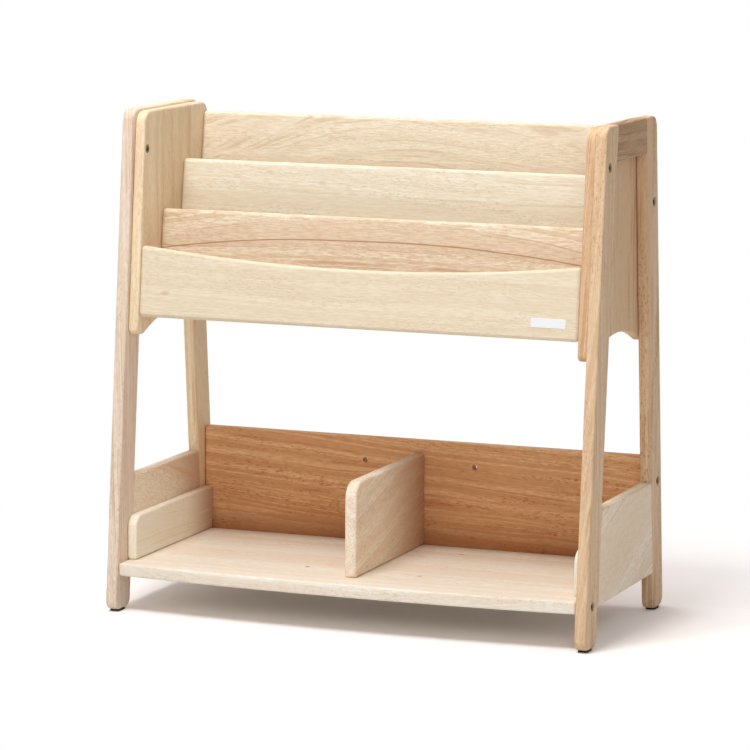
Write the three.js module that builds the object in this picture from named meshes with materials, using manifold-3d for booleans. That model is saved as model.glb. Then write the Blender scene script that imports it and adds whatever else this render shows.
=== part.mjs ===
// Picture book browser bin for a playroom.
// Two splayed side frames carry a stepped bin, in which picture books stand face out in three rows,
// over a low shelf with a back board and a divider that can be bolted in three places.
// Units are millimetres. +Z is up, the front looks along -Y, and the origin is on the floor in the middle.
import * as THREE from "three";
import { mergeVertices } from "three/addons/utils/BufferGeometryUtils.js";
import Module from "manifold-3d";

const wasm = await Module();
wasm.setup();

// Fits and roundings
const FIT = 0.2; // gap between pieces that touch
const ARRIS = 2.5; // rounding of every sanded edge
const BOARD_CORNER = 1.2 * ARRIS; // rounding of a board's corners, seen square to its face
const ARC_STEPS = 12; // straight pieces of each long arc
const ROUND_STEPS = 12; // straight pieces around each turned piece and hole

// Side frames
const WIDTH = 630; // over the outer faces of both frames
const HEIGHT = 624;
const STANCE = 313; // depth over the feet, where the leg lines reach the floor
const LEG_LEAN = THREE.MathUtils.degToRad(5.29);
const FRAME_THICKNESS = 15;
const LEG_DEPTH = 43; // front to back, measured level
const TOP_RAIL_HEIGHT = 44.5;
const SIDE_RAIL_HEIGHT = 117;
const SIDE_RAIL_BOTTOM = 49; // above the floor
const TOP_CORNER = 15;
const FOOT_CORNER = 12;
const TENON_LENGTH = 18;
const TENON_THICKNESS = 5;
const TENON_SHOULDER = 12; // rail height left bare above and below each tenon
const GLIDE_THICKNESS = 2.5;
const GLIDE_WIDTH = 13;
const GLIDE_LENGTH = 19;

// Bin sides
const BIN_SIDE_THICKNESS = 13;
const BIN_FRONT_SETBACK = 6.5; // behind the front of the legs
const BIN_REAR_SETBACK = 1;
const BIN_SIDE_DROP = 2.5; // below the top of the frames
const BIN_SIDE_HEIGHT = 276.5;
const BIN_TOP_CORNER = 18;
const BIN_TIP_CORNER = 8;
const BIN_FRONT_TIP = 20; // level width of the lower edge, in front of the arch
const BIN_REAR_TIP = 25.5;
const ARCH_RISE = 21;

// Bin boards
const BIN_BOARD_THICKNESS = 12;
const BIN_BOARD_ARRIS = 4; // fuller rounding of the edges that books pass over
const BIN_BOARD_CORNER = 1.2 * BIN_BOARD_ARRIS;
const BIN_FLOOR_RISE = 23.5; // above the lower tips of the bin sides
const FRONT_BOARD_SETBACK = 0.8; // behind the front edge of the bin sides
const FRONT_BOARD_RISE = 88.5; // of each upper edge above the underside of the bin floor
const FRONT_BOARD_DIP = 17;
const LOW_MIDDLE_BOARD_RISE = 128.5;
const HIGH_MIDDLE_BOARD_RISE = 186;
const REAR_BOARD_RISE = 242;
const POCKET_PITCH = 55; // from board face to board face at the bin floor
const POCKET_LEAN = THREE.MathUtils.degToRad(8.2);
const DOWEL_RADIUS = 3;
const DOWEL_REACH = 8; // into the bin sides
const DOWEL_INSET = 22; // from the upper and lower edges of a board

// Shelf, back board, divider and low side boards
const SHELF_TOP = 62;
const SHELF_THICKNESS = 16;
const SHELF_SETBACK = 2; // of the shelf's front corners behind the legs
const SHELF_BOW = 15;
const SHELF_CORNER = 4;
const BACK_BOARD_INSET = 33.5; // of its front face from the rear of the legs, at the shelf
const BACK_BOARD_THICKNESS = 15;
const BACK_BOARD_RISE = 134; // above the shelf
const PARTITION_SETBACK = 27; // of the divider and low side boards behind the shelf's front corners
const DIVIDER_THICKNESS = 15;
const DIVIDER_HEIGHT = 118;
const DIVIDER_CORNER = 21;
const DIVIDER_PITCH = 74.5; // between the places for the divider
const DIVIDER_HOLE_RADIUS = 3.5;
const DIVIDER_BOLT_DROP = 14; // in the back board, below the top of the divider
const DIVIDER_BOLT_INSET = 45; // in the shelf, from both ends of the divider
const LOW_SIDE_THICKNESS = 12;
const LOW_SIDE_HEIGHT = 56;
const LOW_SIDE_CORNER = 16;

// Fasteners
const BOLT_RADIUS = 3;
const BOLT_HEAD_RADIUS = 6;
const BOLT_HEAD_HEIGHT = 3;
const BOLT_HEAD_SINK = 4; // depth of the seat under the frame's outer face
const BOLT_SOCKET_DEPTH = 2;
const SOCKET_RADIUS = 3; // to the corners of the hexagon
const BIN_BOLT_INSET = 17; // from the outer edge of the leg
const BIN_FRONT_BOLT_DROP = 49; // below the top of the frames
const BIN_REAR_BOLT_DROP = 106;
const SHELF_BOLT_INSET = 18; // behind the shelf's front corners
const BACK_BOLT_DROP = 31; // below the top of the back board
const SLEEVE_RADIUS = 4.2;
const SLEEVE_FLANGE_RADIUS = 5.5;
const SLEEVE_FLANGE_HEIGHT = 2;
const SLEEVE_LENGTH = 11;
const BARREL_RADIUS = 5;
const BARREL_LENGTH = 12;
const BARREL_DEPTH = 30; // of its axis inside the end of the board
const INSERT_RADIUS = 4.5;
const INSERT_LENGTH = 13;
const SCREW_RADIUS = 2;
const SCREW_HEAD_RADIUS = 4.2;
const SCREW_HEAD_HEIGHT = 2.5;
const SCREW_GRIP = 24; // length of thread in the second board
const SCREW_INSET = 40; // from the ends of the edge that is screwed

// Finishes
const WOOD = { name: "rubberwood", color: 0xdcb98c, roughness: 0.5, metalness: 0 };
const STEEL = { name: "bronzed steel", color: 0x3a322b, roughness: 0.4, metalness: 0.9 };
const PLASTIC = { name: "glide plastic", color: 0x141414, roughness: 0.8, metalness: 0 };

// Derived sizes
const FRAME_INNER = WIDTH / 2 - FRAME_THICKNESS;
const FRAME_OUTER = WIDTH / 2;
const SIDE_RAIL_TOP = SIDE_RAIL_BOTTOM + SIDE_RAIL_HEIGHT;
const BOLT_SEAT = FRAME_OUTER - BOLT_HEAD_SINK;
const BIN_SIDE_OUTER = FRAME_INNER - FIT;
const BIN_SIDE_INNER = BIN_SIDE_OUTER - BIN_SIDE_THICKNESS;
const BIN_SIDE_TOP = HEIGHT - BIN_SIDE_DROP;
const BIN_SIDE_BOTTOM = BIN_SIDE_TOP - BIN_SIDE_HEIGHT;
const BIN_FLOOR_BOTTOM = BIN_SIDE_BOTTOM + BIN_FLOOR_RISE;
const BIN_FLOOR_TOP = BIN_FLOOR_BOTTOM + BIN_BOARD_THICKNESS;
const BIN_FLOOR_MIDDLE = BIN_FLOOR_BOTTOM + BIN_BOARD_THICKNESS / 2;
const BIN_BOARD_LENGTH = 2 * (BIN_SIDE_INNER - FIT);
const BIN_FRONT_BOLT_HEIGHT = HEIGHT - BIN_FRONT_BOLT_DROP;
const BIN_REAR_BOLT_HEIGHT = HEIGHT - BIN_REAR_BOLT_DROP;
const SHELF_BOTTOM = SHELF_TOP - SHELF_THICKNESS;
const SHELF_MIDDLE = SHELF_TOP - SHELF_THICKNESS / 2;
const SHELF_HALF = FRAME_INNER - FIT;
const BARREL_PLACE = SHELF_HALF - BARREL_DEPTH;
const SHELF_FRONT = frontOfLegs(SHELF_TOP) + SHELF_SETBACK;
const BACK_BOARD_FRONT = -frontOfLegs(SHELF_TOP) - BACK_BOARD_INSET;
const BACK_BOARD_MIDDLE = BACK_BOARD_FRONT + BACK_BOARD_THICKNESS / 2;
const BACK_BOARD_REAR = BACK_BOARD_FRONT + BACK_BOARD_THICKNESS;
const BACK_BOARD_TOP = SHELF_TOP + BACK_BOARD_RISE;
const BACK_BOLT_HEIGHT = BACK_BOARD_TOP - BACK_BOLT_DROP;
const PARTITION_FRONT = SHELF_FRONT + PARTITION_SETBACK;
const PARTITION_REAR = BACK_BOARD_FRONT - FIT;
const PARTITION_BOTTOM = SHELF_TOP + FIT;
const LOW_SIDE_MIDDLE = SHELF_HALF - LOW_SIDE_THICKNESS / 2;
const DIVIDER_BOLT_HEIGHT = SHELF_TOP + DIVIDER_HEIGHT - DIVIDER_BOLT_DROP;
const DIVIDER_PLACES = [-DIVIDER_PITCH, 0, DIVIDER_PITCH];
const DIVIDER_BOLT_DEPTHS = [PARTITION_FRONT + DIVIDER_BOLT_INSET, PARTITION_REAR - DIVIDER_BOLT_INSET];
const LOW_SIDE_SCREW_DEPTHS = [PARTITION_FRONT + SCREW_INSET, PARTITION_REAR - SCREW_INSET];
const BACK_SCREW_PLACES = [SCREW_INSET - SHELF_HALF, 0, SHELF_HALF - SCREW_INSET];

// Front edge of the legs and of the bin sides at a height; the rear edge of the legs mirrors the front
function frontOfLegs(height) {
  return height * Math.tan(LEG_LEAN) - STANCE / 2;
}

function frontOfBin(height) {
  return frontOfLegs(height) + BIN_FRONT_SETBACK;
}

function rearOfBin(height) {
  return -frontOfLegs(height) - BIN_REAR_SETBACK;
}

// Directions, and the three views in which outlines are drawn: across, up and thickness
const X = new THREE.Vector3(1, 0, 0);
const Y = new THREE.Vector3(0, 1, 0);
const Z = new THREE.Vector3(0, 0, 1);
const SIDE_VIEW = new THREE.Matrix4().makeBasis(Y, Z, X);
const FRONT_VIEW = new THREE.Matrix4().makeBasis(X, Z, Y.clone().negate());
const PLAN_VIEW = new THREE.Matrix4().makeBasis(X, Y, Z);

const rack = new THREE.Group();
rack.name = "picture_book_browser_bin";

// Outline through corners [across, up, radius], anticlockwise, each corner rounded by its radius
function outline(corners) {
  const shape = new THREE.Shape();
  const points = corners.map(([across, up]) => new THREE.Vector2(across, up));
  corners.forEach(([, , radius = 0], i) => {
    const corner = points[i];
    const toBefore = points.at(i - 1).clone().sub(corner).normalize();
    const toAfter = points[(i + 1) % points.length].clone().sub(corner).normalize();
    const halfAngle = toBefore.angleTo(toAfter) / 2;
    if (radius === 0) {
      if (i === 0) shape.moveTo(corner.x, corner.y);
      else shape.lineTo(corner.x, corner.y);
      return;
    }
    const centre = toBefore.clone().add(toAfter).setLength(radius / Math.sin(halfAngle)).add(corner);
    const reach = radius / Math.tan(halfAngle);
    const start = toBefore.clone().multiplyScalar(reach).add(corner).sub(centre).angle();
    const end = toAfter.clone().multiplyScalar(reach).add(corner).sub(centre).angle();
    const turnsRight = toBefore.cross(toAfter) > 0;
    shape.absarc(centre.x, centre.y, radius, start, end, turnsRight);
  });
  shape.closePath();
  return shape;
}

// Corners along a circular arc between two places at one level, its middle above them by the rise
function arcCorners(from, to, level, rise) {
  const half = (to - from) / 2;
  const radius = (half * half + rise * rise) / (2 * Math.abs(rise));
  const corners = [];
  for (let i = 1; i < ARC_STEPS; i += 1) {
    const offset = half * ((2 * i) / ARC_STEPS - 1);
    const height = Math.abs(rise) - radius + Math.sqrt(radius * radius - offset * offset);
    corners.push([from + half + offset, level + Math.sign(rise) * height]);
  }
  return corners;
}

function rectangle(left, right, bottom, top, radius = BOARD_CORNER) {
  return outline([
    [left, bottom, radius],
    [right, bottom, radius],
    [right, top, radius],
    [left, top, radius],
  ]);
}

// Solid with the given outline, from 0 to its thickness along the view's third direction
function board(shape, thickness, view, arris = ARRIS) {
  const geometry = new THREE.ExtrudeGeometry(shape, {
    depth: thickness - 2 * arris,
    curveSegments: 2,
    bevelEnabled: arris > 0,
    bevelThickness: arris,
    bevelSize: arris,
    bevelOffset: -arris,
    bevelSegments: 2,
  });
  geometry.translate(0, 0, arris);
  return solid(geometry.applyMatrix4(view));
}

// Solid of revolution with the profile [radius, distance], its distances measured along a direction
function turned(profile, start, direction) {
  const points = profile.map(([radius, distance]) => new THREE.Vector2(radius, distance));
  const geometry = new THREE.LatheGeometry(points, ROUND_STEPS);
  geometry.applyQuaternion(new THREE.Quaternion().setFromUnitVectors(Y, direction));
  return solid(geometry.translate(...start));
}

function rod(radius, length, start, direction) {
  return turned([[0, 0], [radius, 0], [radius, length], [0, length]], start, direction);
}

// Hexagonal recess for a key
function keySocket(start, direction, depth) {
  const geometry = new THREE.CylinderGeometry(SOCKET_RADIUS, SOCKET_RADIUS, 2 * depth, 6);
  geometry.applyQuaternion(new THREE.Quaternion().setFromUnitVectors(Y, direction));
  return solid(geometry.translate(...start));
}

function solid(geometry) {
  const bare = geometry.clone();
  bare.deleteAttribute("normal");
  bare.deleteAttribute("uv");
  const joined = mergeVertices(bare, 1e-4);
  const mesh = new wasm.Mesh({
    numProp: 3,
    vertProperties: new Float32Array(joined.attributes.position.array),
    triVerts: new Uint32Array(joined.index.array),
  });
  return new wasm.Manifold(mesh);
}

function joinedBodies(bodies) {
  return wasm.Manifold.union(bodies);
}

function addPiece(name, body, finish) {
  const mesh = body.getMesh();
  const geometry = new THREE.BufferGeometry();
  geometry.setAttribute("position", new THREE.BufferAttribute(mesh.vertProperties, 3));
  geometry.setIndex(new THREE.BufferAttribute(mesh.triVerts, 1));
  geometry.computeVertexNormals();
  const piece = new THREE.Mesh(geometry, new THREE.MeshStandardMaterial(finish));
  piece.name = name;
  rack.add(piece);
}

// Point at a distance from the start along a direction
function along(start, direction, distance) {
  return start.clone().addScaledVector(direction, distance);
}

// Bolt with a hexagon socket in its head; start is the middle of the head's seat
function bolt(start, direction, length) {
  const edge = BOLT_HEAD_HEIGHT / 4;
  const profile = [
    [0, -BOLT_HEAD_HEIGHT],
    [BOLT_HEAD_RADIUS - edge, -BOLT_HEAD_HEIGHT],
    [BOLT_HEAD_RADIUS, edge - BOLT_HEAD_HEIGHT],
    [BOLT_HEAD_RADIUS, -FIT],
    [BOLT_RADIUS, -FIT],
    [BOLT_RADIUS, length - edge],
    [BOLT_RADIUS - edge, length],
    [0, length],
  ];
  const top = along(start, direction, -BOLT_HEAD_HEIGHT);
  return turned(profile, start, direction).subtract(keySocket(top, direction, BOLT_SOCKET_DEPTH));
}

// Wood screw with a pan head; start is the middle of the head's seat
function screw(start, direction, length) {
  const edge = SCREW_HEAD_HEIGHT / 2;
  const profile = [
    [0, -SCREW_HEAD_HEIGHT],
    [SCREW_HEAD_RADIUS - edge, -SCREW_HEAD_HEIGHT],
    [SCREW_HEAD_RADIUS, edge - SCREW_HEAD_HEIGHT],
    [SCREW_HEAD_RADIUS, -FIT],
    [SCREW_RADIUS, -FIT],
    [SCREW_RADIUS, length - 2 * SCREW_RADIUS],
    [0, length],
  ];
  return turned(profile, start, direction);
}

// Flanged nut with a blind bore, its barrel along the direction; start is the middle of its outer face
function sleeveNut(start, direction) {
  const bore = BOLT_RADIUS + FIT;
  const profile = [
    [0, 0],
    [SLEEVE_FLANGE_RADIUS, 0],
    [SLEEVE_FLANGE_RADIUS, SLEEVE_FLANGE_HEIGHT],
    [SLEEVE_RADIUS, SLEEVE_FLANGE_HEIGHT],
    [SLEEVE_RADIUS, SLEEVE_LENGTH],
    [bore, SLEEVE_LENGTH],
    [bore, SLEEVE_FLANGE_HEIGHT],
    [0, SLEEVE_FLANGE_HEIGHT],
  ];
  const socket = keySocket(start, direction, SLEEVE_FLANGE_HEIGHT / 2);
  return turned(profile, start, direction).subtract(socket);
}

// Plain tube that holds the thread for a divider bolt
function insert(start, direction) {
  const bore = BOLT_RADIUS + FIT;
  const profile = [
    [bore, 0],
    [INSERT_RADIUS, 0],
    [INSERT_RADIUS, INSERT_LENGTH],
    [bore, INSERT_LENGTH],
    [bore, 0],
  ];
  return turned(profile, start, direction);
}

// Hole with clearance for a bolt, screw or nut, from the start to a depth
function hole(radius, depth, start, direction) {
  return rod(radius + FIT, depth + FIT, start, direction);
}

// Bolts through the frames: into sleeve nuts in the bin sides and barrel nuts in the shelf and back board
const SLEEVE_BOLTS = [
  {
    name: "bin_front",
    depth: frontOfLegs(BIN_FRONT_BOLT_HEIGHT) + BIN_BOLT_INSET,
    height: BIN_FRONT_BOLT_HEIGHT,
    tip: BIN_SIDE_INNER + SLEEVE_FLANGE_HEIGHT + FIT,
  },
  {
    name: "bin_rear",
    depth: -frontOfLegs(BIN_REAR_BOLT_HEIGHT) - BIN_BOLT_INSET,
    height: BIN_REAR_BOLT_HEIGHT,
    tip: BIN_SIDE_INNER + SLEEVE_FLANGE_HEIGHT + FIT,
  },
];
const BARREL_BOLTS = [
  {
    name: "shelf",
    depth: SHELF_FRONT + SHELF_BOLT_INSET,
    height: SHELF_MIDDLE,
    tip: BARREL_PLACE - BARREL_RADIUS,
    barrelDirection: Z,
  },
  {
    name: "back_board",
    depth: BACK_BOARD_MIDDLE,
    height: BACK_BOLT_HEIGHT,
    tip: BARREL_PLACE - BARREL_RADIUS,
    barrelDirection: Y.clone().negate(),
  },
];
const FRAME_BOLTS = [...SLEEVE_BOLTS, ...BARREL_BOLTS];

// Counterbores and shank holes of the frame bolts of one side
function frameBoltHoles(side) {
  const inward = X.clone().multiplyScalar(-side);
  const bodies = FRAME_BOLTS.flatMap(({ depth, height, tip }) => {
    const seat = new THREE.Vector3(side * BOLT_SEAT, depth, height);
    return [
      rod(BOLT_HEAD_RADIUS + FIT, 2 * BOLT_HEAD_SINK, along(seat, inward, -2 * BOLT_HEAD_SINK), inward),
      hole(BOLT_RADIUS, BOLT_SEAT + FIT - tip, along(seat, inward, -FIT), inward),
    ];
  });
  return joinedBodies(bodies);
}

function addFrameFasteners(side, sideName) {
  const inward = X.clone().multiplyScalar(-side);
  const outward = X.clone().multiplyScalar(side);
  for (const { name, depth, height, tip } of FRAME_BOLTS) {
    const seat = new THREE.Vector3(side * BOLT_SEAT, depth, height);
    addPiece(`${sideName}_${name}_bolt`, bolt(seat, inward, BOLT_SEAT - tip), STEEL);
  }
  for (const { name, depth, height } of SLEEVE_BOLTS) {
    const face = new THREE.Vector3(side * BIN_SIDE_INNER, depth, height);
    addPiece(`${sideName}_${name}_sleeve_nut`, sleeveNut(face, outward), STEEL);
  }
  for (const { name, depth, height, barrelDirection } of BARREL_BOLTS) {
    const middle = new THREE.Vector3(side * BARREL_PLACE, depth, height);
    const end = along(middle, barrelDirection, -BARREL_LENGTH / 2);
    const thread = hole(BOLT_RADIUS, 4 * BARREL_RADIUS, along(middle, inward, -2 * BARREL_RADIUS), inward);
    const nut = rod(BARREL_RADIUS, BARREL_LENGTH, end, barrelDirection).subtract(thread);
    addPiece(`${sideName}_${name}_barrel_nut`, nut, STEEL);
  }
}

// Barrel nut holes of both sides, each bored from the hidden face of its board
function barrelHoles({ depth, height, barrelDirection }) {
  const bodies = [-1, 1].map((side) => {
    const middle = new THREE.Vector3(side * BARREL_PLACE, depth, height);
    const outside = along(middle, barrelDirection, -2 * BARREL_LENGTH);
    return hole(BARREL_RADIUS, 2.5 * BARREL_LENGTH, outside, barrelDirection);
  });
  return joinedBodies(bodies);
}

// Side frames: one rounded blank, parted along the joints into two legs and two tenoned rails
const RAILS = [
  { name: "top_rail", bottom: HEIGHT - TOP_RAIL_HEIGHT, top: HEIGHT },
  { name: "side_rail", bottom: SIDE_RAIL_BOTTOM, top: SIDE_RAIL_TOP },
];

// Corners of the region between the legs, its slanting sides moved into the legs by a distance
function betweenLegs(bottom, top, reach) {
  const side = (height) => -frontOfLegs(height) - LEG_DEPTH + reach;
  return [
    [-side(bottom), bottom],
    [side(bottom), bottom],
    [side(top), top],
    [-side(top), top],
  ];
}

function frameBlank() {
  const foot = GLIDE_THICKNESS;
  const [frontFoot, rearFoot, rearRail, frontRail] = betweenLegs(foot, SIDE_RAIL_BOTTOM, 0);
  const shape = outline([
    [frontOfLegs(foot), foot, FOOT_CORNER],
    [...frontFoot, FOOT_CORNER],
    frontRail,
    rearRail,
    [...rearFoot, FOOT_CORNER],
    [-frontOfLegs(foot), foot, FOOT_CORNER],
    [-frontOfLegs(HEIGHT), HEIGHT, TOP_CORNER],
    [frontOfLegs(HEIGHT), HEIGHT, TOP_CORNER],
  ]);
  shape.holes.push(outline(betweenLegs(SIDE_RAIL_TOP, HEIGHT - TOP_RAIL_HEIGHT, 0)));
  return board(shape, FRAME_THICKNESS, SIDE_VIEW);
}

// Tenons at both ends of a rail, or with room around them the mortises that receive them
function tenons(rail, room) {
  const bottom = rail.bottom + TENON_SHOULDER - room;
  const top = rail.top - TENON_SHOULDER + room;
  const thickness = TENON_THICKNESS + 2 * room;
  const shape = outline(betweenLegs(bottom, top, TENON_LENGTH + room));
  return board(shape, thickness, SIDE_VIEW, 0).translate((FRAME_THICKNESS - thickness) / 2, 0, 0);
}

// Region between the legs through the whole thickness of a frame
function middleRegion(bottom, top, reach) {
  const shape = outline(betweenLegs(bottom, top, reach));
  return board(shape, 3 * FRAME_THICKNESS, SIDE_VIEW, 0).translate(-FRAME_THICKNESS, 0, 0);
}

function addSideFrame(side, sideName) {
  const shift = side > 0 ? FRAME_INNER : -FRAME_OUTER;
  const moved = (body) => body.translate(shift, 0, 0);
  const blank = moved(frameBlank());
  const mortises = joinedBodies(RAILS.map((rail) => moved(tenons(rail, FIT))));
  const middle = moved(middleRegion(0, HEIGHT + TOP_RAIL_HEIGHT, 0));
  const legs = blank.subtract(middle).subtract(mortises).subtract(frameBoltHoles(side));
  addPiece(`${sideName}_front_leg`, legs.trimByPlane([0, -1, 0], 0), WOOD);
  addPiece(`${sideName}_rear_leg`, legs.trimByPlane([0, 1, 0], 0), WOOD);
  for (const rail of RAILS) {
    const span = moved(middleRegion(rail.bottom - ARRIS, rail.top + ARRIS, -FIT));
    addPiece(`${sideName}_${rail.name}`, blank.intersect(span).add(moved(tenons(rail, 0))), WOOD);
  }
}

function addGlides(side, sideName) {
  const across = side * (FRAME_INNER + FRAME_THICKNESS / 2);
  const middle = frontOfLegs(GLIDE_THICKNESS) + LEG_DEPTH / 2;
  const shape = rectangle(-GLIDE_WIDTH / 2, GLIDE_WIDTH / 2, -GLIDE_LENGTH / 2, GLIDE_LENGTH / 2);
  const glide = board(shape, GLIDE_THICKNESS - FIT, PLAN_VIEW, 0);
  addPiece(`${sideName}_front_glide`, glide.translate(across, middle, 0), PLASTIC);
  addPiece(`${sideName}_rear_glide`, glide.translate(across, -middle, 0), PLASTIC);
}

// Bin boards: each leans back, its front face at a depth that is given at the bin floor
function binBoard(name, lean, depth, bottom, rise) {
  return {
    name,
    lean,
    bottom,
    depth: depth + (bottom - BIN_FLOOR_TOP) * Math.tan(lean),
    height: (BIN_FLOOR_BOTTOM + rise - bottom) / Math.cos(lean),
  };
}

const FRONT_BOARD_DEPTH = frontOfBin(BIN_FLOOR_TOP) + FRONT_BOARD_SETBACK;
const POCKET_DEPTHS = [1, 2, 3].map((row) => FRONT_BOARD_DEPTH + row * POCKET_PITCH);
const STANDING_BOTTOM = BIN_FLOOR_TOP + BIN_BOARD_THICKNESS * Math.sin(POCKET_LEAN) + FIT;
const FRONT_BOARD = binBoard("front", LEG_LEAN, FRONT_BOARD_DEPTH, BIN_FLOOR_BOTTOM, FRONT_BOARD_RISE);
const REAR_BOARD = binBoard("rear", POCKET_LEAN, POCKET_DEPTHS[2], BIN_FLOOR_BOTTOM, REAR_BOARD_RISE);
const BIN_BOARDS = [
  FRONT_BOARD,
  binBoard("low_middle", POCKET_LEAN, POCKET_DEPTHS[0], STANDING_BOTTOM, LOW_MIDDLE_BOARD_RISE),
  binBoard("high_middle", POCKET_LEAN, POCKET_DEPTHS[1], STANDING_BOTTOM, HIGH_MIDDLE_BOARD_RISE),
  REAR_BOARD,
];

// Depth and height of a place on a leaning board: inward from its front face, upward from its lower edge
function onBoard({ lean, depth, bottom }, inward, upward) {
  return [
    depth + inward * Math.cos(lean) + upward * Math.sin(lean),
    bottom + upward * Math.cos(lean) - inward * Math.sin(lean),
  ];
}

function dowelPlaces(item) {
  return [DOWEL_INSET, item.height - DOWEL_INSET].map((up) => onBoard(item, BIN_BOARD_THICKNESS / 2, up));
}

// Depth at a height of the plane that lies inward from a leaning board's front face
function depthOfPlane({ lean, depth, bottom }, inward, height) {
  return depth + inward / Math.cos(lean) + (height - bottom) * Math.tan(lean);
}

// The bin floor fills the space between the front and rear boards
const FLOOR_CORNERS = [
  [depthOfPlane(FRONT_BOARD, BIN_BOARD_THICKNESS + FIT, BIN_FLOOR_BOTTOM), BIN_FLOOR_BOTTOM],
  [depthOfPlane(REAR_BOARD, -FIT, BIN_FLOOR_BOTTOM), BIN_FLOOR_BOTTOM],
  [depthOfPlane(REAR_BOARD, -FIT, BIN_FLOOR_TOP), BIN_FLOOR_TOP],
  [depthOfPlane(FRONT_BOARD, BIN_BOARD_THICKNESS + FIT, BIN_FLOOR_TOP), BIN_FLOOR_TOP],
];
const FLOOR_DOWELS = [
  [FLOOR_CORNERS[0][0] + DOWEL_INSET, BIN_FLOOR_MIDDLE],
  [FLOOR_CORNERS[1][0] - DOWEL_INSET, BIN_FLOOR_MIDDLE],
];

// Dowels glued into both ends of a board, or with room around them the holes that receive them
function dowels(places, room) {
  const reach = BIN_BOARD_LENGTH / 2 + DOWEL_REACH + room;
  const bodies = places.map(([depth, height]) => {
    return rod(DOWEL_RADIUS + room, 2 * reach, new THREE.Vector3(-reach, depth, height), X);
  });
  return joinedBodies(bodies);
}

function addBinBoards() {
  const half = BIN_BOARD_LENGTH / 2;
  for (const item of BIN_BOARDS) {
    const dip = item === FRONT_BOARD ? arcCorners(half, -half, item.height, -FRONT_BOARD_DIP) : [];
    const shape = outline([
      [-half, 0, BIN_BOARD_CORNER],
      [half, 0, BIN_BOARD_CORNER],
      [half, item.height, BIN_BOARD_CORNER],
      ...dip,
      [-half, item.height, BIN_BOARD_CORNER],
    ]);
    const plank = board(shape, BIN_BOARD_THICKNESS, FRONT_VIEW, BIN_BOARD_ARRIS);
    const upright = plank.translate(0, BIN_BOARD_THICKNESS, 0);
    const leaning = upright.rotate(-THREE.MathUtils.radToDeg(item.lean), 0, 0);
    const placed = leaning.translate(0, item.depth, item.bottom);
    addPiece(`bin_${item.name}_board`, placed.add(dowels(dowelPlaces(item), 0)), WOOD);
  }
  const floor = board(outline(FLOOR_CORNERS), BIN_BOARD_LENGTH, SIDE_VIEW, 0).translate(-half, 0, 0);
  addPiece("bin_floor", floor.add(dowels(FLOOR_DOWELS, 0)), WOOD);
}

// Bin sides: rounded panels with an arched lower edge
function addBinSide(side, sideName) {
  const archFront = frontOfBin(BIN_SIDE_BOTTOM) + BIN_FRONT_TIP;
  const archRear = rearOfBin(BIN_SIDE_BOTTOM) - BIN_REAR_TIP;
  const shape = outline([
    [frontOfBin(BIN_SIDE_BOTTOM), BIN_SIDE_BOTTOM, BIN_TIP_CORNER],
    [archFront, BIN_SIDE_BOTTOM],
    ...arcCorners(archFront, archRear, BIN_SIDE_BOTTOM, ARCH_RISE),
    [archRear, BIN_SIDE_BOTTOM],
    [rearOfBin(BIN_SIDE_BOTTOM), BIN_SIDE_BOTTOM, BIN_TIP_CORNER],
    [rearOfBin(BIN_SIDE_TOP), BIN_SIDE_TOP, BIN_TOP_CORNER],
    [frontOfBin(BIN_SIDE_TOP), BIN_SIDE_TOP, BIN_TOP_CORNER],
  ]);
  const shift = side > 0 ? BIN_SIDE_INNER : -BIN_SIDE_OUTER;
  const outward = X.clone().multiplyScalar(side);
  const sleeveHoles = SLEEVE_BOLTS.flatMap(({ depth, height }) => {
    const face = new THREE.Vector3(side * BIN_SIDE_INNER, depth, height);
    const inside = along(face, outward, -SLEEVE_FLANGE_HEIGHT);
    return [
      hole(SLEEVE_FLANGE_RADIUS, 2 * SLEEVE_FLANGE_HEIGHT, inside, outward),
      hole(SLEEVE_RADIUS, BIN_SIDE_THICKNESS, face, outward),
    ];
  });
  const dowelHoles = dowels([...BIN_BOARDS.flatMap(dowelPlaces), ...FLOOR_DOWELS], FIT);
  const panel = board(shape, BIN_SIDE_THICKNESS, SIDE_VIEW).translate(shift, 0, 0);
  const bored = panel.subtract(dowelHoles).subtract(joinedBodies(sleeveHoles));
  addPiece(`${sideName}_bin_side`, bored, WOOD);
}

// Places where the divider's bolts and the screws sit against the shelf and the back board
const SHELF_DIVIDER_SEATS = DIVIDER_BOLT_DEPTHS.map((depth) => new THREE.Vector3(0, depth, SHELF_BOTTOM));
const BACK_DIVIDER_SEAT = new THREE.Vector3(0, BACK_BOARD_REAR, DIVIDER_BOLT_HEIGHT);
const BACK_SCREW_SEATS = BACK_SCREW_PLACES.map((x) => new THREE.Vector3(x, BACK_BOARD_REAR, SHELF_MIDDLE));
const LOW_SIDE_SCREW_SEATS = [-1, 1].map((side) => {
  return LOW_SIDE_SCREW_DEPTHS.map((depth) => new THREE.Vector3(side * LOW_SIDE_MIDDLE, depth, SHELF_BOTTOM));
});
const FORWARD = Y.clone().negate();

// Divider holes through a board at each place where the divider can stand
function dividerHoles(seat, direction, thickness) {
  const bodies = DIVIDER_PLACES.map((place) => {
    const start = along(seat, direction, -thickness).setX(place);
    return rod(DIVIDER_HOLE_RADIUS, 3 * thickness, start, direction);
  });
  return joinedBodies(bodies);
}

function screwHoles(seats, direction, thickness) {
  const bodies = seats.map((seat) => {
    return hole(SCREW_RADIUS, thickness + SCREW_GRIP + FIT, along(seat, direction, -FIT), direction);
  });
  return joinedBodies(bodies);
}

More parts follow.
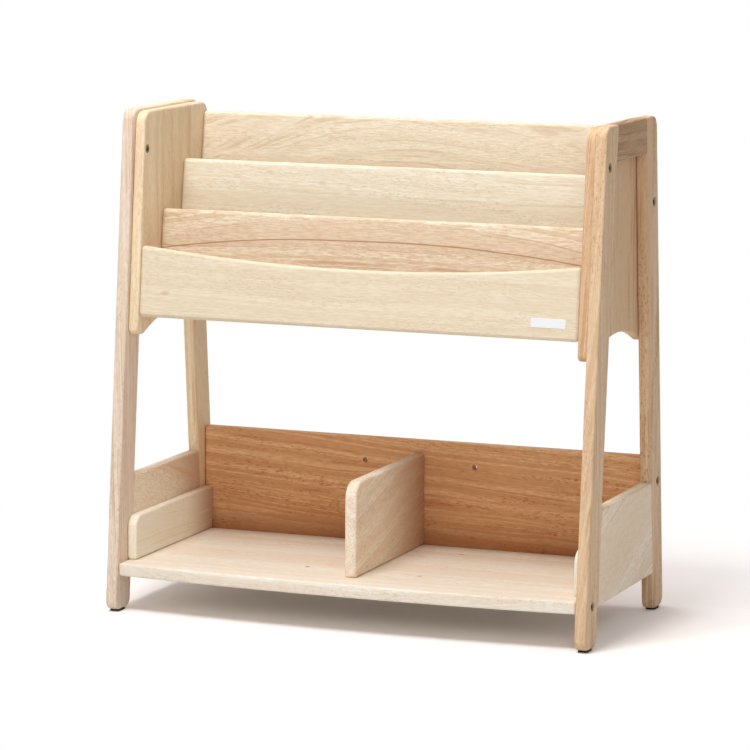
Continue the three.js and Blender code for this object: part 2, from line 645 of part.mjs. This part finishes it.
function addShelf() {
  const shape = outline([
    [-SHELF_HALF, SHELF_FRONT, SHELF_CORNER],
    ...arcCorners(-SHELF_HALF, SHELF_HALF, SHELF_FRONT, -SHELF_BOW),
    [SHELF_HALF, SHELF_FRONT, SHELF_CORNER],
    [SHELF_HALF, PARTITION_REAR, BOARD_CORNER],
    [-SHELF_HALF, PARTITION_REAR, BOARD_CORNER],
  ]);
  const cuts = joinedBodies([
    frameBoltHoles(-1),
    frameBoltHoles(1),
    barrelHoles(BARREL_BOLTS[0]),
    ...SHELF_DIVIDER_SEATS.map((seat) => dividerHoles(seat, Z, SHELF_THICKNESS)),
    screwHoles(BACK_SCREW_SEATS, FORWARD, BACK_BOARD_THICKNESS),
    ...LOW_SIDE_SCREW_SEATS.map((seats) => screwHoles(seats, Z, SHELF_THICKNESS)),
  ]);
  const plank = board(shape, SHELF_THICKNESS, PLAN_VIEW).translate(0, 0, SHELF_BOTTOM);
  addPiece("shelf", plank.subtract(cuts), WOOD);
}

function addBackBoard() {
  const shape = rectangle(-SHELF_HALF, SHELF_HALF, SHELF_BOTTOM, BACK_BOARD_TOP);
  const cuts = joinedBodies([
    frameBoltHoles(-1),
    frameBoltHoles(1),
    barrelHoles(BARREL_BOLTS[1]),
    dividerHoles(BACK_DIVIDER_SEAT, FORWARD, BACK_BOARD_THICKNESS),
    screwHoles(BACK_SCREW_SEATS, FORWARD, BACK_BOARD_THICKNESS),
  ]);
  const plank = board(shape, BACK_BOARD_THICKNESS, FRONT_VIEW).translate(0, BACK_BOARD_REAR, 0);
  addPiece("back_board", plank.subtract(cuts), WOOD);
}

// Upright board on the shelf that runs back to the back board, with a rounded front corner
function partition(height, corner, thickness) {
  const top = SHELF_TOP + height;
  const shape = outline([
    [PARTITION_FRONT, PARTITION_BOTTOM, BOARD_CORNER],
    [PARTITION_REAR, PARTITION_BOTTOM, BOARD_CORNER],
    [PARTITION_REAR, top, BOARD_CORNER],
    [PARTITION_FRONT, top, corner],
  ]);
  return board(shape, thickness, SIDE_VIEW).translate(-thickness / 2, 0, 0);
}

function addLowSides() {
  const plank = partition(LOW_SIDE_HEIGHT, LOW_SIDE_CORNER, LOW_SIDE_THICKNESS);
  const [leftSeats, rightSeats] = LOW_SIDE_SCREW_SEATS.map((seats) => screwHoles(seats, Z, SHELF_THICKNESS));
  addPiece("left_low_side", plank.translate(-LOW_SIDE_MIDDLE, 0, 0).subtract(leftSeats), WOOD);
  addPiece("right_low_side", plank.translate(LOW_SIDE_MIDDLE, 0, 0).subtract(rightSeats), WOOD);
}

// Divider with its threaded inserts and the bolts that reach them through the shelf and the back board
function addDivider() {
  const fixings = [
    { name: "front", seat: SHELF_DIVIDER_SEATS[0], direction: Z, thickness: SHELF_THICKNESS },
    { name: "rear", seat: SHELF_DIVIDER_SEATS[1], direction: Z, thickness: SHELF_THICKNESS },
    { name: "back", seat: BACK_DIVIDER_SEAT, direction: FORWARD, thickness: BACK_BOARD_THICKNESS },
  ];
  const sockets = fixings.map(({ seat, direction, thickness }) => {
    return hole(INSERT_RADIUS, thickness + FIT + INSERT_LENGTH, seat, direction);
  });
  const plank = partition(DIVIDER_HEIGHT, DIVIDER_CORNER, DIVIDER_THICKNESS);
  addPiece("divider", plank.subtract(joinedBodies(sockets)), WOOD);
  for (const { name, seat, direction, thickness } of fixings) {
    const reach = thickness + FIT + INSERT_LENGTH - BOLT_RADIUS;
    addPiece(`divider_${name}_insert`, insert(along(seat, direction, thickness + FIT), direction), STEEL);
    addPiece(`divider_${name}_bolt`, bolt(seat, direction, reach), STEEL);
  }
}

function addScrews() {
  const backNames = ["left", "middle", "right"];
  BACK_SCREW_SEATS.forEach((seat, i) => {
    const body = screw(seat, FORWARD, BACK_BOARD_THICKNESS + SCREW_GRIP);
    addPiece(`back_board_${backNames[i]}_screw`, body, STEEL);
  });
  LOW_SIDE_SCREW_SEATS.forEach((seats, i) => {
    const sideName = ["left", "right"][i];
    const [front, rear] = seats.map((seat) => screw(seat, Z, SHELF_THICKNESS + SCREW_GRIP));
    addPiece(`${sideName}_low_side_front_screw`, front, STEEL);
    addPiece(`${sideName}_low_side_rear_screw`, rear, STEEL);
  });
}

for (const [side, sideName] of [[-1, "left"], [1, "right"]]) {
  addSideFrame(side, sideName);
  addGlides(side, sideName);
  addBinSide(side, sideName);
  addFrameFasteners(side, sideName);
}
addBinBoards();
addShelf();
addBackBoard();
addLowSides();
addDivider();
addScrews();

// The bowed shelf reaches further forward than the feet, so the middle of the whole is moved to the origin
const bounds = new THREE.Box3().setFromObject(rack);
rack.position.y = -(bounds.min.y + bounds.max.y) / 2;

const part = new THREE.Group();
part.add(rack);

export default part;
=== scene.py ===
"""Looks of a picture book browser bin: lacquered rubberwood, dark steel fasteners and black glides."""
import math
from dataclasses import dataclass

import bmesh
import bpy
from mathutils import Matrix, Vector


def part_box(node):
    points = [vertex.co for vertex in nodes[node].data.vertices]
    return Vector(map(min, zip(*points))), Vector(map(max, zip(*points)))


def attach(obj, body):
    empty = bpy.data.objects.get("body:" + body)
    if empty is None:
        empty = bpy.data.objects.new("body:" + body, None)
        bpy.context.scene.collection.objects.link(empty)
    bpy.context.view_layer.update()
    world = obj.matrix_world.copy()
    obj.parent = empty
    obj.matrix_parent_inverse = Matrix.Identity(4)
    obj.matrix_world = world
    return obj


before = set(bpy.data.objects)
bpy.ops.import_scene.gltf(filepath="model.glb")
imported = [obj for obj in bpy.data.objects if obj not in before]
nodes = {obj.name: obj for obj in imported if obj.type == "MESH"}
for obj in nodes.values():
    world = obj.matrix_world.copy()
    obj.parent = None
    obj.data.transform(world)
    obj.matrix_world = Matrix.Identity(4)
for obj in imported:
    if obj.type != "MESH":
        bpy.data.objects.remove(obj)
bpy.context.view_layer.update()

# Camera, found by fitting the straight edges of the object in the photograph
CAMERA_AZIMUTH = math.radians(21.334)
CAMERA_ELEVATION = math.radians(8.498)
CAMERA_ROLL = math.radians(0.328)
CAMERA_TARGET = Vector((-0.0053, -0.0234, 0.3001))
CAMERA_DISTANCE = 4.79
CAMERA_LENS = 185.8
CAMERA_SENSOR = 36
CAMERA_REACH = 100

# Lean of the legs and of the front board
LEG_LEAN = math.radians(5.29)

# Directions
X = Vector((1, 0, 0))
Y = Vector((0, 1, 0))
Z = Vector((0, 0, 1))


def leaning_up(lean):
    return Vector((0, math.sin(lean), math.cos(lean)))


# Shader helpers for a material or a world: most return the output socket of the node that they add
class Shader:
    def __init__(self, owner):
        owner.use_nodes = True
        self.owner = owner
        self.tree = owner.node_tree

    def add(self, kind, inputs=None, **settings):
        added = self.tree.nodes.new(kind)
        for key, value in settings.items():
            setattr(added, key, value)
        for key, value in (inputs or {}).items():
            self.give(added.inputs[key], value)
        return added

    def give(self, socket, value):
        if isinstance(value, bpy.types.NodeSocket):
            self.tree.links.new(value, socket)
        else:
            socket.default_value = value

    def set(self, **inputs):
        surface = self.tree.nodes["Principled BSDF"]
        for key, value in inputs.items():
            self.give(surface.inputs[key.replace("_", " ")], value)

    def object_place(self):
        return self.add("ShaderNodeTexCoord").outputs["Object"]

    def math(self, operation, first, second=0.0, third=0.0):
        inputs = {0: first, 1: second, 2: third}
        return self.add("ShaderNodeMath", inputs, operation=operation).outputs[0]

    def dot(self, vector, direction):
        inputs = {0: vector, 1: direction}
        return self.add("ShaderNodeVectorMath", inputs, operation="DOT_PRODUCT").outputs["Value"]

    def length(self, vector):
        return self.add("ShaderNodeVectorMath", {0: vector}, operation="LENGTH").outputs["Value"]

    def join(self, x, y, z):
        return self.add("ShaderNodeCombineXYZ", {0: x, 1: y, 2: z}).outputs[0]

    def scaled(self, vector, scale):
        inputs = {0: vector, 1: scale}
        return self.add("ShaderNodeVectorMath", inputs, operation="MULTIPLY").outputs[0]

    def noise(self, vector, cells, detail=2.0, roughness=0.5):
        place = self.scaled(vector, cells)
        inputs = {"Vector": place, "Scale": 1.0, "Detail": detail, "Roughness": roughness}
        return self.add("ShaderNodeTexNoise", inputs).outputs[0]

    def line_noise(self, place, detail=2.0, roughness=0.5):
        inputs = {"W": place, "Scale": 1.0, "Detail": detail, "Roughness": roughness}
        return self.add("ShaderNodeTexNoise", inputs, noise_dimensions="1D").outputs[0]

    def chances(self, number):
        drawn = self.add("ShaderNodeTexWhiteNoise", {"W": number}, noise_dimensions="1D").outputs["Color"]
        return self.add("ShaderNodeSeparateColor", {"Color": drawn}).outputs

    def span(self, value, low, high, to_low=0.0, to_high=1.0):
        inputs = {"Value": value, "From Min": low, "From Max": high, "To Min": to_low, "To Max": to_high}
        return self.add("ShaderNodeMapRange", inputs, interpolation_type="SMOOTHSTEP").outputs[0]

    def mix(self, factor, first, second):
        inputs = {"Factor": factor, "A": first, "B": second}
        return self.add("ShaderNodeMix", inputs, data_type="RGBA").outputs["Result"]

    def bump(self, height, distance):
        inputs = {"Height": height, "Distance": distance, "Strength": 1.0}
        return self.add("ShaderNodeBump", inputs).outputs[0]


def new_shader(name):
    return Shader(bpy.data.materials.new(name))


def colour(rgb):
    return (*rgb, 1.0)


WHITE = colour((1, 1, 1))

# Wood tones, each the pale and the dark of the grain, in linear colour
CREAM = ((0.88, 0.82, 0.68), (0.74, 0.61, 0.43))
STRAW = ((0.85, 0.74, 0.57), (0.72, 0.56, 0.37))
WHEAT = ((0.88, 0.79, 0.63), (0.72, 0.55, 0.37))
HONEY = ((0.90, 0.79, 0.62), (0.66, 0.45, 0.28))
# The pale butter tone of the low sides is partly their own wood and partly painted light on their inner faces
BUTTER = ((0.97, 0.93, 0.82), (0.91, 0.82, 0.66))
ROSE = ((0.93, 0.91, 0.83), (0.85, 0.71, 0.56))
BISCUIT = ((0.88, 0.76, 0.63), (0.72, 0.52, 0.37))
MAIZE = ((0.93, 0.78, 0.56), (0.76, 0.53, 0.31))
# The pale peach tone of the divider and the side rails is partly their own wood and partly painted light on
# them
PEACH = ((0.97, 0.90, 0.76), (0.84, 0.64, 0.45))
# The darker caramel tone of the right-hand frame pieces is partly their own wood and partly painted shade on
# the side away from the lights
CARAMEL = ((0.84, 0.64, 0.44), (0.66, 0.42, 0.23))
# Painted shade: the dark tone of the right top rail, on the side away from the lights
SHADED_TOFFEE = ((0.58, 0.37, 0.20), (0.40, 0.22, 0.10))
# Painted shade and warm bounce light: the deep orange of the back board under the bin
SHADED_GINGER = ((0.96, 0.63, 0.35), (0.66, 0.31, 0.13))

# Painted shade: a warm dark tone in the wood toward the inner corners of the shelf, which stands in for the
# shade there
RECESS_PAINTED_SHADE = (0.38, 0.14, 0.05)


@dataclass
class Cut:
    """How one piece was cut from its log: lengths are metres, and the shares go from 0 to 1.

    pith: the middle of the log, across the piece and behind it
    low_stave: the level of a glue seam, and the share of the dark tone below it, which on the back board is
    painted shade
    recess: painted shade toward the inner corners of the shelf, as a direction, where it starts and is full
    along it, and its share
    knots: for each, its place along and across the grain, its size and its share
    """

    along: Vector
    across: Vector
    tones: tuple
    seed: float
    stave: float = 3.0
    stave_start: float = -1.0
    stave_tone: float = 0.3
    low_stave: tuple = ()
    painted_recess_shade: tuple = ()
    turn: float = 0.05
    pith: tuple = (0.03, 0.06)
    sag: float = 0.0
    slant: float = 0.02
    wander: float = 0.03
    ring_spacing: float = 0.008
    figure: float = 0.6
    lines: float = 0.5
    fibre: float = 0.5
    pores: float = 0.6
    vein: float = 0.0
    knots: tuple = ()


# Half length over which the rings of a board sag, how far staves differ along the log, and half a glue seam
SAG_SPAN = 0.28
STAVE_SHIFT = 3.0
SEAM = 0.002

# Fineness of the grain's parts along and across the fibre, in cells of noise per metre
WANDER_CELLS = (3, 14, 14)
LINE_CELLS = (9, 60, 60)
FIBRE_CELLS = (75, 560, 560)
PORE_CELLS = (190, 620, 620)
BAND_CELLS = (5, 45, 45)

# Values of the noise between which each mark fades in
RING_FADE = (0.34, 0.68)
LINE_FADE = (0.42, 0.62)
FIBRE_FADE = (0.35, 0.68)
PORE_FADE = (0.53, 0.68)
BAND_FADE = (0.4, 0.6)

# Ring value that a dark line follows, and half the width of the line
LINE_LEVEL = 0.52
LINE_HALF_WIDTH = 0.05

# Share of the pores that is left in a closed band and in a closed stave
CLOSED_BAND = 0.15
CLOSED_STAVE = 0.4

# Distances from the pith over which the vein fades
VEIN_FADE = (0.0002, 0.0014)

# Width of a knot as a share of its length, and its fully dark core as a share of its size
KNOT_WIDTH = 0.5
KNOT_CORE = 0.3

# Lacquered surface
WOOD_RELIEF = 0.0002
WOOD_ROUGHNESS = (0.45, 0.6)
WOOD_SPECULAR = 0.2


# Sideways distance from the pith of the log, which wanders along the grain
def beside_pith(shader, cut, u, tilt, grain, chance):
    wander = shader.math("MULTIPLY_ADD", shader.noise(grain, WANDER_CELLS), cut.wander, -cut.wander / 2)
    turn = shader.math("MULTIPLY_ADD", chance, cut.turn, -cut.turn / 2)
    bow = shader.math("MULTIPLY", shader.math("POWER", shader.math("DIVIDE", u, SAG_SPAN), 2.0), cut.sag)
    middle = shader.math("ADD", shader.math("SUBTRACT", tilt, cut.pith[0]), bow)
    return shader.math("ADD", shader.math("ADD", middle, wander), turn)


def growth_rings(shader, cut, sideways, w, shift):
    inward = shader.math("ADD", w, cut.pith[1])
    radius = shader.length(shader.join(sideways, inward, 0.0))
    along_radius = shader.math("MULTIPLY_ADD", radius, 1 / cut.ring_spacing, shift)
    return shader.line_noise(along_radius, detail=3.0, roughness=0.6)


def ring_lines(shader, cut, rings, grain):
    edge = shader.math("ABSOLUTE", shader.math("SUBTRACT", rings, LINE_LEVEL))
    broken = shader.span(shader.noise(grain, LINE_CELLS), *LINE_FADE, 0.0, cut.lines)
    return shader.math("MULTIPLY", shader.span(edge, 0.0, LINE_HALF_WIDTH, 1.0, 0.0), broken)


# Pores open as short dark dashes in some bands of the board
def open_pores(shader, grain, chance):
    dashes = shader.noise(grain, PORE_CELLS, detail=1.0)
    bands = shader.span(shader.noise(grain, BAND_CELLS, detail=1.0), *BAND_FADE, CLOSED_BAND, 1.0)
    open_bands = shader.math("MULTIPLY", bands, shader.span(chance, 0.0, 1.0, CLOSED_STAVE, 1.0))
    return shader.math("MULTIPLY", shader.span(dashes, *PORE_FADE), open_bands)


def knot_mark(shader, u, v, knot_u, knot_v, size, share):
    aside = shader.math("SUBTRACT", v, knot_v)
    ahead = shader.math("MULTIPLY_ADD", u, KNOT_WIDTH, -KNOT_WIDTH * knot_u)
    reach = shader.length(shader.join(ahead, aside, 0.0))
    return shader.span(reach, KNOT_CORE * size, size, share, 0.0)


def wood(name, cut):
    shader = new_shader(name)
    place = shader.object_place()
    u = shader.dot(place, cut.along)
    v = shader.dot(place, cut.across)
    w = shader.dot(place, cut.along.cross(cut.across))

    # Each glued stave has chance values of its own, which shift, turn and tone its grain
    from_start = shader.math("SUBTRACT", v, cut.stave_start)
    stave = shader.math("FLOOR", shader.math("DIVIDE", from_start, cut.stave))
    chance = shader.chances(shader.math("ADD", stave, cut.seed))
    shift = shader.math("MULTIPLY_ADD", chance[0], STAVE_SHIFT, cut.seed)
    tilt = shader.math("MULTIPLY_ADD", u, cut.slant, v)
    grain = shader.join(shader.math("ADD", u, shift), shader.math("ADD", tilt, shift), w)

    sideways = beside_pith(shader, cut, u, tilt, grain, chance[1])
    rings = growth_rings(shader, cut, sideways, w, shift)
    fibres = shader.noise(grain, FIBRE_CELLS, roughness=0.6)
    pores = open_pores(shader, grain, chance[2])

    pale, dark = [colour(tone) for tone in cut.tones]
    deep = colour([part * part for part in cut.tones[1]])
    tone = shader.mix(shader.span(rings, *RING_FADE, 0.0, cut.figure), pale, dark)
    tone = shader.mix(shader.span(fibres, *FIBRE_FADE, 0.0, cut.fibre), tone, dark)
    tone = shader.mix(shader.math("MULTIPLY", chance[1], cut.stave_tone), tone, dark)
    if cut.low_stave:
        level, share = cut.low_stave
        tone = shader.mix(shader.span(v, level - SEAM, level + SEAM, share, 0.0), tone, dark)
    # Painted shade: a warm dark tone toward the inner corners of the shelf, where shade falls
    if cut.painted_recess_shade:
        toward, start, end, share = cut.painted_recess_shade
        painted_shade = shader.span(shader.dot(place, toward), start, end, 0.0, share)
        tone = shader.mix(painted_shade, tone, colour(RECESS_PAINTED_SHADE))
    tone = shader.mix(ring_lines(shader, cut, rings, grain), tone, deep)
    tone = shader.mix(shader.math("MULTIPLY", pores, cut.pores), tone, deep)
    if cut.vein:
        vein = shader.span(shader.math("ABSOLUTE", sideways), *VEIN_FADE, cut.vein, 0.0)
        tone = shader.mix(vein, tone, deep)
    for knot in cut.knots:
        tone = shader.mix(knot_mark(shader, u, v, *knot), tone, deep)

    relief = shader.math("SUBTRACT", fibres, pores)
    shader.set(Base_Color=tone, Normal=shader.bump(relief, WOOD_RELIEF))
    shader.set(Roughness=shader.span(fibres, 0.2, 0.8, *WOOD_ROUGHNESS))
    shader.set(Specular_IOR_Level=WOOD_SPECULAR)
    return shader.owner


FRONT_LEG_UP = leaning_up(LEG_LEAN)
REAR_LEG_UP = leaning_up(-LEG_LEAN)
# Painted shade toward the rear of the low sides
LOW_SIDE_PAINTED_SHADE = (Y, 0.03, 0.13, 0.75)


def leg_cut(up, tones, seed, **marks):
    return Cut(up, Y, tones, seed, pith=(0.1, 0.08), ring_spacing=0.006, **marks)


# Cut of each board: the grain's direction, its tones and what marks it, painted shade among the marks
CUTS = {
    "bin_front_board": Cut(
        X, Z, STRAW, 3.1, pith=(0.6, 0.3), slant=0.01, figure=0.35, lines=0.12, pores=0.35,
        knots=((-0.2517, 0.3994, 0.004, 0.35), (-0.178, 0.404, 0.003, 0.2)),
    ),
    "bin_low_middle_board": Cut(
        X, Z, HONEY, 7.4, pith=(0.469, 0.012), turn=0.0, sag=0.019, slant=0.0, wander=0.012,
        ring_spacing=0.007, figure=0.5, lines=0.5, fibre=0.65, stave_tone=0.0, vein=0.85,
    ),
    "bin_high_middle_board": Cut(
        X, Z, CREAM, 1.7, stave=0.055, stave_start=0.517, stave_tone=0.1, low_stave=(0.517, 0.3),
        figure=0.3, lines=0.25, fibre=0.6, pores=0.8,
        knots=((-0.21, 0.535, 0.004, 0.25), (-0.165, 0.541, 0.003, 0.2), (-0.095, 0.531, 0.004, 0.25)),
    ),
    "bin_rear_board": Cut(
        X, Z, WHEAT, 5.9, stave=0.06, stave_start=0.556, low_stave=(0.556, 0.25), pith=(0.62, 0.05),
        sag=0.067, slant=0.0, figure=0.3, lines=0.35, fibre=0.6,
    ),
    "bin_floor": Cut(X, Y, MAIZE, 2.3, stave=0.05),
    "shelf": Cut(
        X, Y, ROSE, 4.6, stave=0.045, stave_tone=0.45, pith=(0.05, 0.2), ring_spacing=0.012,
        figure=0.7, lines=0.25, fibre=0.8, pores=0.5, painted_recess_shade=(Y, 0.09, 0.13, 0.4),
    ),
    # Back board: its deep orange, its darker low stave and its warm dark tone toward the bottom are painted
    # shade and warm bounce light under the bin
    "back_board": Cut(
        X, Z, SHADED_GINGER, 8.2, stave=0.0375, stave_start=0.0865, stave_tone=0.3, low_stave=(0.124, 0.15),
        painted_recess_shade=(-Z, -0.105, -0.06, 0.8), slant=0.06, figure=0.8, lines=0.4, fibre=0.6, pores=0.85,
        knots=((0.1832, 0.0872, 0.0015, 0.9),),
    ),
    "divider": Cut(
        Y, Z, PEACH, 6.6, slant=-0.25, pith=(0.12, 0.03), figure=0.5, lines=0.25, fibre=0.8,
        painted_recess_shade=(Y, -0.06, 0.16, 0.9),
    ),
    "left_bin_side": Cut(Z, Y, MAIZE, 14.8, stave=0.05, stave_tone=0.2, figure=0.3, lines=0.2, pores=0.3),
    # The right-hand pieces are darker, partly their own wood and partly painted shade on the side away from
    # the lights
    "right_bin_side": Cut(Z, Y, CARAMEL, 25.4, stave=0.05, knots=((0.4034, 0.0813, 0.0016, 0.95),)),
    "left_front_leg": leg_cut(FRONT_LEG_UP, BISCUIT, 10.3, figure=0.35, pores=0.35),
    "right_front_leg": leg_cut(FRONT_LEG_UP, CARAMEL, 20.9, pores=0.4),
    "left_rear_leg": leg_cut(REAR_LEG_UP, MAIZE, 11.6, pores=0.4),
    "right_rear_leg": leg_cut(REAR_LEG_UP, CARAMEL, 22.2),
    "left_top_rail": Cut(Y, Z, MAIZE, 12.5),
    # Painted shade: the right top rail is dark for the shade on its side
    "right_top_rail": Cut(Y, Z, SHADED_TOFFEE, 23.1),
    "left_side_rail": Cut(
        Y, Z, PEACH, 14.1, slant=0.35, pith=(0.1, 0.03), figure=0.8, fibre=0.8, painted_recess_shade=(Y, 0.0, 0.14, 0.6),
    ),
    "right_side_rail": Cut(
        Y, Z, PEACH, 24.7, slant=-0.35, pith=(0.1, 0.03), figure=0.7, lines=0.6, fibre=0.8,
    ),
    "left_low_side": Cut(Y, Z, BUTTER, 16.0, fibre=0.9, painted_recess_shade=LOW_SIDE_PAINTED_SHADE),
    "right_low_side": Cut(Y, Z, BUTTER, 26.6, fibre=0.9, painted_recess_shade=LOW_SIDE_PAINTED_SHADE),
}

# Other materials: two tones of each, and how fine its speckle is, in cells of noise per metre
STEEL_TONES = ((0.12, 0.10, 0.08), (0.40, 0.36, 0.31))
STEEL_CELLS = (400, 400, 400)
STEEL_ROUGHNESS = (0.25, 0.4)
PLASTIC_TONES = ((0.012, 0.012, 0.012), (0.03, 0.03, 0.03))
PLASTIC_CELLS = (900, 900, 900)
PLASTIC_ROUGHNESS = 0.7
PLASTIC_RELIEF = 0.0002
ENAMEL_TONES = ((0.90, 0.90, 0.91), (0.84, 0.84, 0.86))
ENAMEL_CELLS = (300, 300, 300)
ENAMEL_ROUGHNESS = (0.25, 0.4)


def two_tones(shader, factor, tones):
    first, second = tones
    return shader.mix(factor, colour(first), colour(second))


def bronzed_steel():
    shader = new_shader("bronzed_steel")
    rubbed = shader.span(shader.noise(shader.object_place(), STEEL_CELLS, detail=3.0), 0.4, 0.7)
    shader.set(Base_Color=two_tones(shader, rubbed, STEEL_TONES))
    shader.set(Roughness=shader.span(rubbed, 0.0, 1.0, *STEEL_ROUGHNESS))
    shader.set(Metallic=1.0)
    return shader.owner


def glide_plastic():
    shader = new_shader("glide_plastic")
    grit = shader.noise(shader.object_place(), PLASTIC_CELLS)
    shader.set(Base_Color=two_tones(shader, grit, PLASTIC_TONES))
    shader.set(Normal=shader.bump(grit, PLASTIC_RELIEF))
    shader.set(Roughness=PLASTIC_ROUGHNESS)
    return shader.owner


def plate_enamel():
    shader = new_shader("plate_enamel")
    ripple = shader.noise(shader.object_place(), ENAMEL_CELLS)
    shader.set(Base_Color=two_tones(shader, ripple, ENAMEL_TONES))
    shader.set(Roughness=shader.span(ripple, 0.3, 0.7, *ENAMEL_ROUGHNESS))
    return shader.owner


# The solids' sanded edges are shaded round, while holes and cut ends stay crisp
CRISP_ANGLE = math.radians(50)
WELD_DISTANCE = 0.00002


def smooth(item):
    item.data.shade_smooth()
    if "custom_normal" in item.data.attributes:
        item.data.attributes.remove(item.data.attributes["custom_normal"])
    weld = item.modifiers.new("weld", "WELD")
    weld.merge_threshold = WELD_DISTANCE
    crisp = item.modifiers.new("crisp", "EDGE_SPLIT")
    crisp.split_angle = CRISP_ANGLE
    item.modifiers.new("even", "WEIGHTED_NORMAL")


def finish_with(item, material):
    item.data.materials.clear()
    item.data.materials.append(material)


def dress_nodes():
    steel = bronzed_steel()
    plastic = glide_plastic()
    for name, item in nodes.items():
        smooth(item)
        if name in CUTS:
            finish_with(item, wood(f"{name}_wood", CUTS[name]))
        elif name.endswith("glide"):
            finish_with(item, plastic)
        else:
            finish_with(item, steel)


# Bare white plate on the face of the front board
PLATE_WIDTH = 0.044
PLATE_HEIGHT = 0.011
PLATE_THICKNESS = 0.001
PLATE_ROUNDING = 0.0012
PLATE_ARRIS = 0.0003
PLATE_PLACE = 0.249
PLATE_LEVEL = 0.389


def link(item):
    bpy.context.scene.collection.objects.link(item)


def runs_through(edge):
    start, end = edge.verts
    return abs((start.co - end.co).normalized().y) > 0.5


def add_plate():
    low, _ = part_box("bin_front_board")
    shape = bmesh.new()
    size = Matrix.Diagonal((PLATE_WIDTH, PLATE_THICKNESS, PLATE_HEIGHT, 1))
    bmesh.ops.create_cube(shape, size=1, matrix=size)
    corners = [edge for edge in shape.edges if runs_through(edge)]
    bmesh.ops.bevel(shape, geom=corners, offset=PLATE_ROUNDING, segments=4, affect="EDGES", profile=0.5)
    rim = [edge for edge in shape.edges if not runs_through(edge)]
    bmesh.ops.bevel(shape, geom=rim, offset=PLATE_ARRIS, segments=2, affect="EDGES", profile=0.5)
    mesh = bpy.data.meshes.new("front_plate")
    shape.to_mesh(mesh)
    shape.free()
    plate = bpy.data.objects.new("front_plate", mesh)
    link(plate)
    depth = low.y + (PLATE_LEVEL - low.z) * math.tan(LEG_LEAN) - PLATE_THICKNESS / 2
    lean = Matrix.Rotation(-LEG_LEAN, 4, "X")
    plate.matrix_world = Matrix.Translation((PLATE_PLACE, depth, PLATE_LEVEL)) @ lean
    finish_with(plate, plate_enamel())
    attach(plate, "root")


# Stage: a white floor that keeps the shadow and fades to plain white away from the object
FLOOR_HALF = 20
FLOOR_FADE = (0.35, 0.85)
FLOOR_TONE = (0.8, 0.8, 0.8)
# The camera and mirrors see the floor brighter, so that it shows white, and slightly warm, which is painted
# warm bounce light in its shadow
FLOOR_TONE_SEEN = (1.19, 1.13, 1.11)


def floor_white():
    shader = new_shader("floor_white")
    faded = shader.span(shader.length(shader.object_place()), *FLOOR_FADE)
    path = shader.add("ShaderNodeLightPath").outputs
    mirrored = shader.math("MAXIMUM", path["Is Glossy Ray"], path["Is Transmission Ray"])
    seen = shader.math("MAXIMUM", path["Is Camera Ray"], mirrored)
    tone = shader.mix(seen, colour(FLOOR_TONE), colour(FLOOR_TONE_SEEN))
    shadow = shader.add("ShaderNodeBsdfDiffuse", {"Color": tone}).outputs[0]
    white = shader.add("ShaderNodeEmission", {"Color": WHITE, "Strength": 1.0}).outputs[0]
    factor = shader.math("MULTIPLY", faded, seen)
    blend = shader.add("ShaderNodeMixShader", {0: factor, 1: shadow, 2: white}).outputs[0]
    shader.give(shader.tree.nodes["Material Output"].inputs["Surface"], blend)
    return shader.owner


def add_floor():
    mesh = bpy.data.meshes.new("floor")
    half = FLOOR_HALF
    corners = [(-half, -half, 0), (half, -half, 0), (half, half, 0), (-half, half, 0)]
    mesh.from_pydata(corners, [], [(0, 1, 2, 3)])
    floor = bpy.data.objects.new("floor", mesh)
    link(floor)
    finish_with(floor, floor_white())


# Lights: a soft box high in front, weaker ones overhead and at the right, each as a place, a size and a power
LIGHTS = {
    "front_light": ((-0.2, -1.3, 2.5), 0.9, 40),
    "top_light": ((-0.3, 0.0, 2.6), 1.2, 15.5),
    "right_light": ((1.3, -2.2, 1.3), 0.8, 8),
}
LIGHT_AIM = Vector((0, 0, 0.3))

# Surround: brightest on the side behind the object and to its left
SURROUND_SIDE = (-0.6, 0.8, 0)
SURROUND_DIM = 0.28
SURROUND_BRIGHT = 0.63


def add_area_light(name, place, size, power):
    lamp = bpy.data.lights.new(name, "AREA")
    lamp.shape = "SQUARE"
    lamp.size = size
    lamp.energy = power
    item = bpy.data.objects.new(name, lamp)
    item.location = place
    item.rotation_euler = (LIGHT_AIM - Vector(place)).to_track_quat("-Z", "Y").to_euler()
    link(item)


def add_surround():
    world = bpy.data.worlds.new("surround")
    bpy.context.scene.world = world
    shader = Shader(world)
    path = shader.add("ShaderNodeLightPath").outputs
    seen = shader.math("MAXIMUM", path["Is Camera Ray"], path["Is Transmission Ray"])
    facing = shader.dot(shader.add("ShaderNodeTexCoord").outputs["Generated"], SURROUND_SIDE)
    half_range = (SURROUND_BRIGHT - SURROUND_DIM) / 2
    level = shader.math("MULTIPLY_ADD", facing, half_range, SURROUND_DIM + half_range)
    background = shader.tree.nodes["Background"]
    shader.give(background.inputs["Color"], WHITE)
    shader.give(background.inputs["Strength"], shader.math("MAXIMUM", seen, level))


def add_lights():
    for name, (place, size, power) in LIGHTS.items():
        add_area_light(name, place, size, power)
    add_surround()


def add_camera():
    back = Vector((
        math.sin(CAMERA_AZIMUTH) * math.cos(CAMERA_ELEVATION),
        -math.cos(CAMERA_AZIMUTH) * math.cos(CAMERA_ELEVATION),
        math.sin(CAMERA_ELEVATION),
    ))
    right = Vector((math.cos(CAMERA_AZIMUTH), math.sin(CAMERA_AZIMUTH), 0))
    axes = Matrix((right, back.cross(right), back)).transposed().to_4x4()
    camera = bpy.data.cameras.new("camera")
    camera.lens = CAMERA_LENS
    camera.sensor_width = CAMERA_SENSOR
    camera.clip_end = CAMERA_REACH
    item = bpy.data.objects.new("camera", camera)
    place = Matrix.Translation(CAMERA_TARGET + back * CAMERA_DISTANCE)
    item.matrix_world = place @ axes @ Matrix.Rotation(CAMERA_ROLL, 4, "Z")
    link(item)
    bpy.context.scene.camera = item


bpy.context.scene.view_settings.view_transform = "Standard"
add_camera()
dress_nodes()
add_plate()
add_floor()
add_lights()
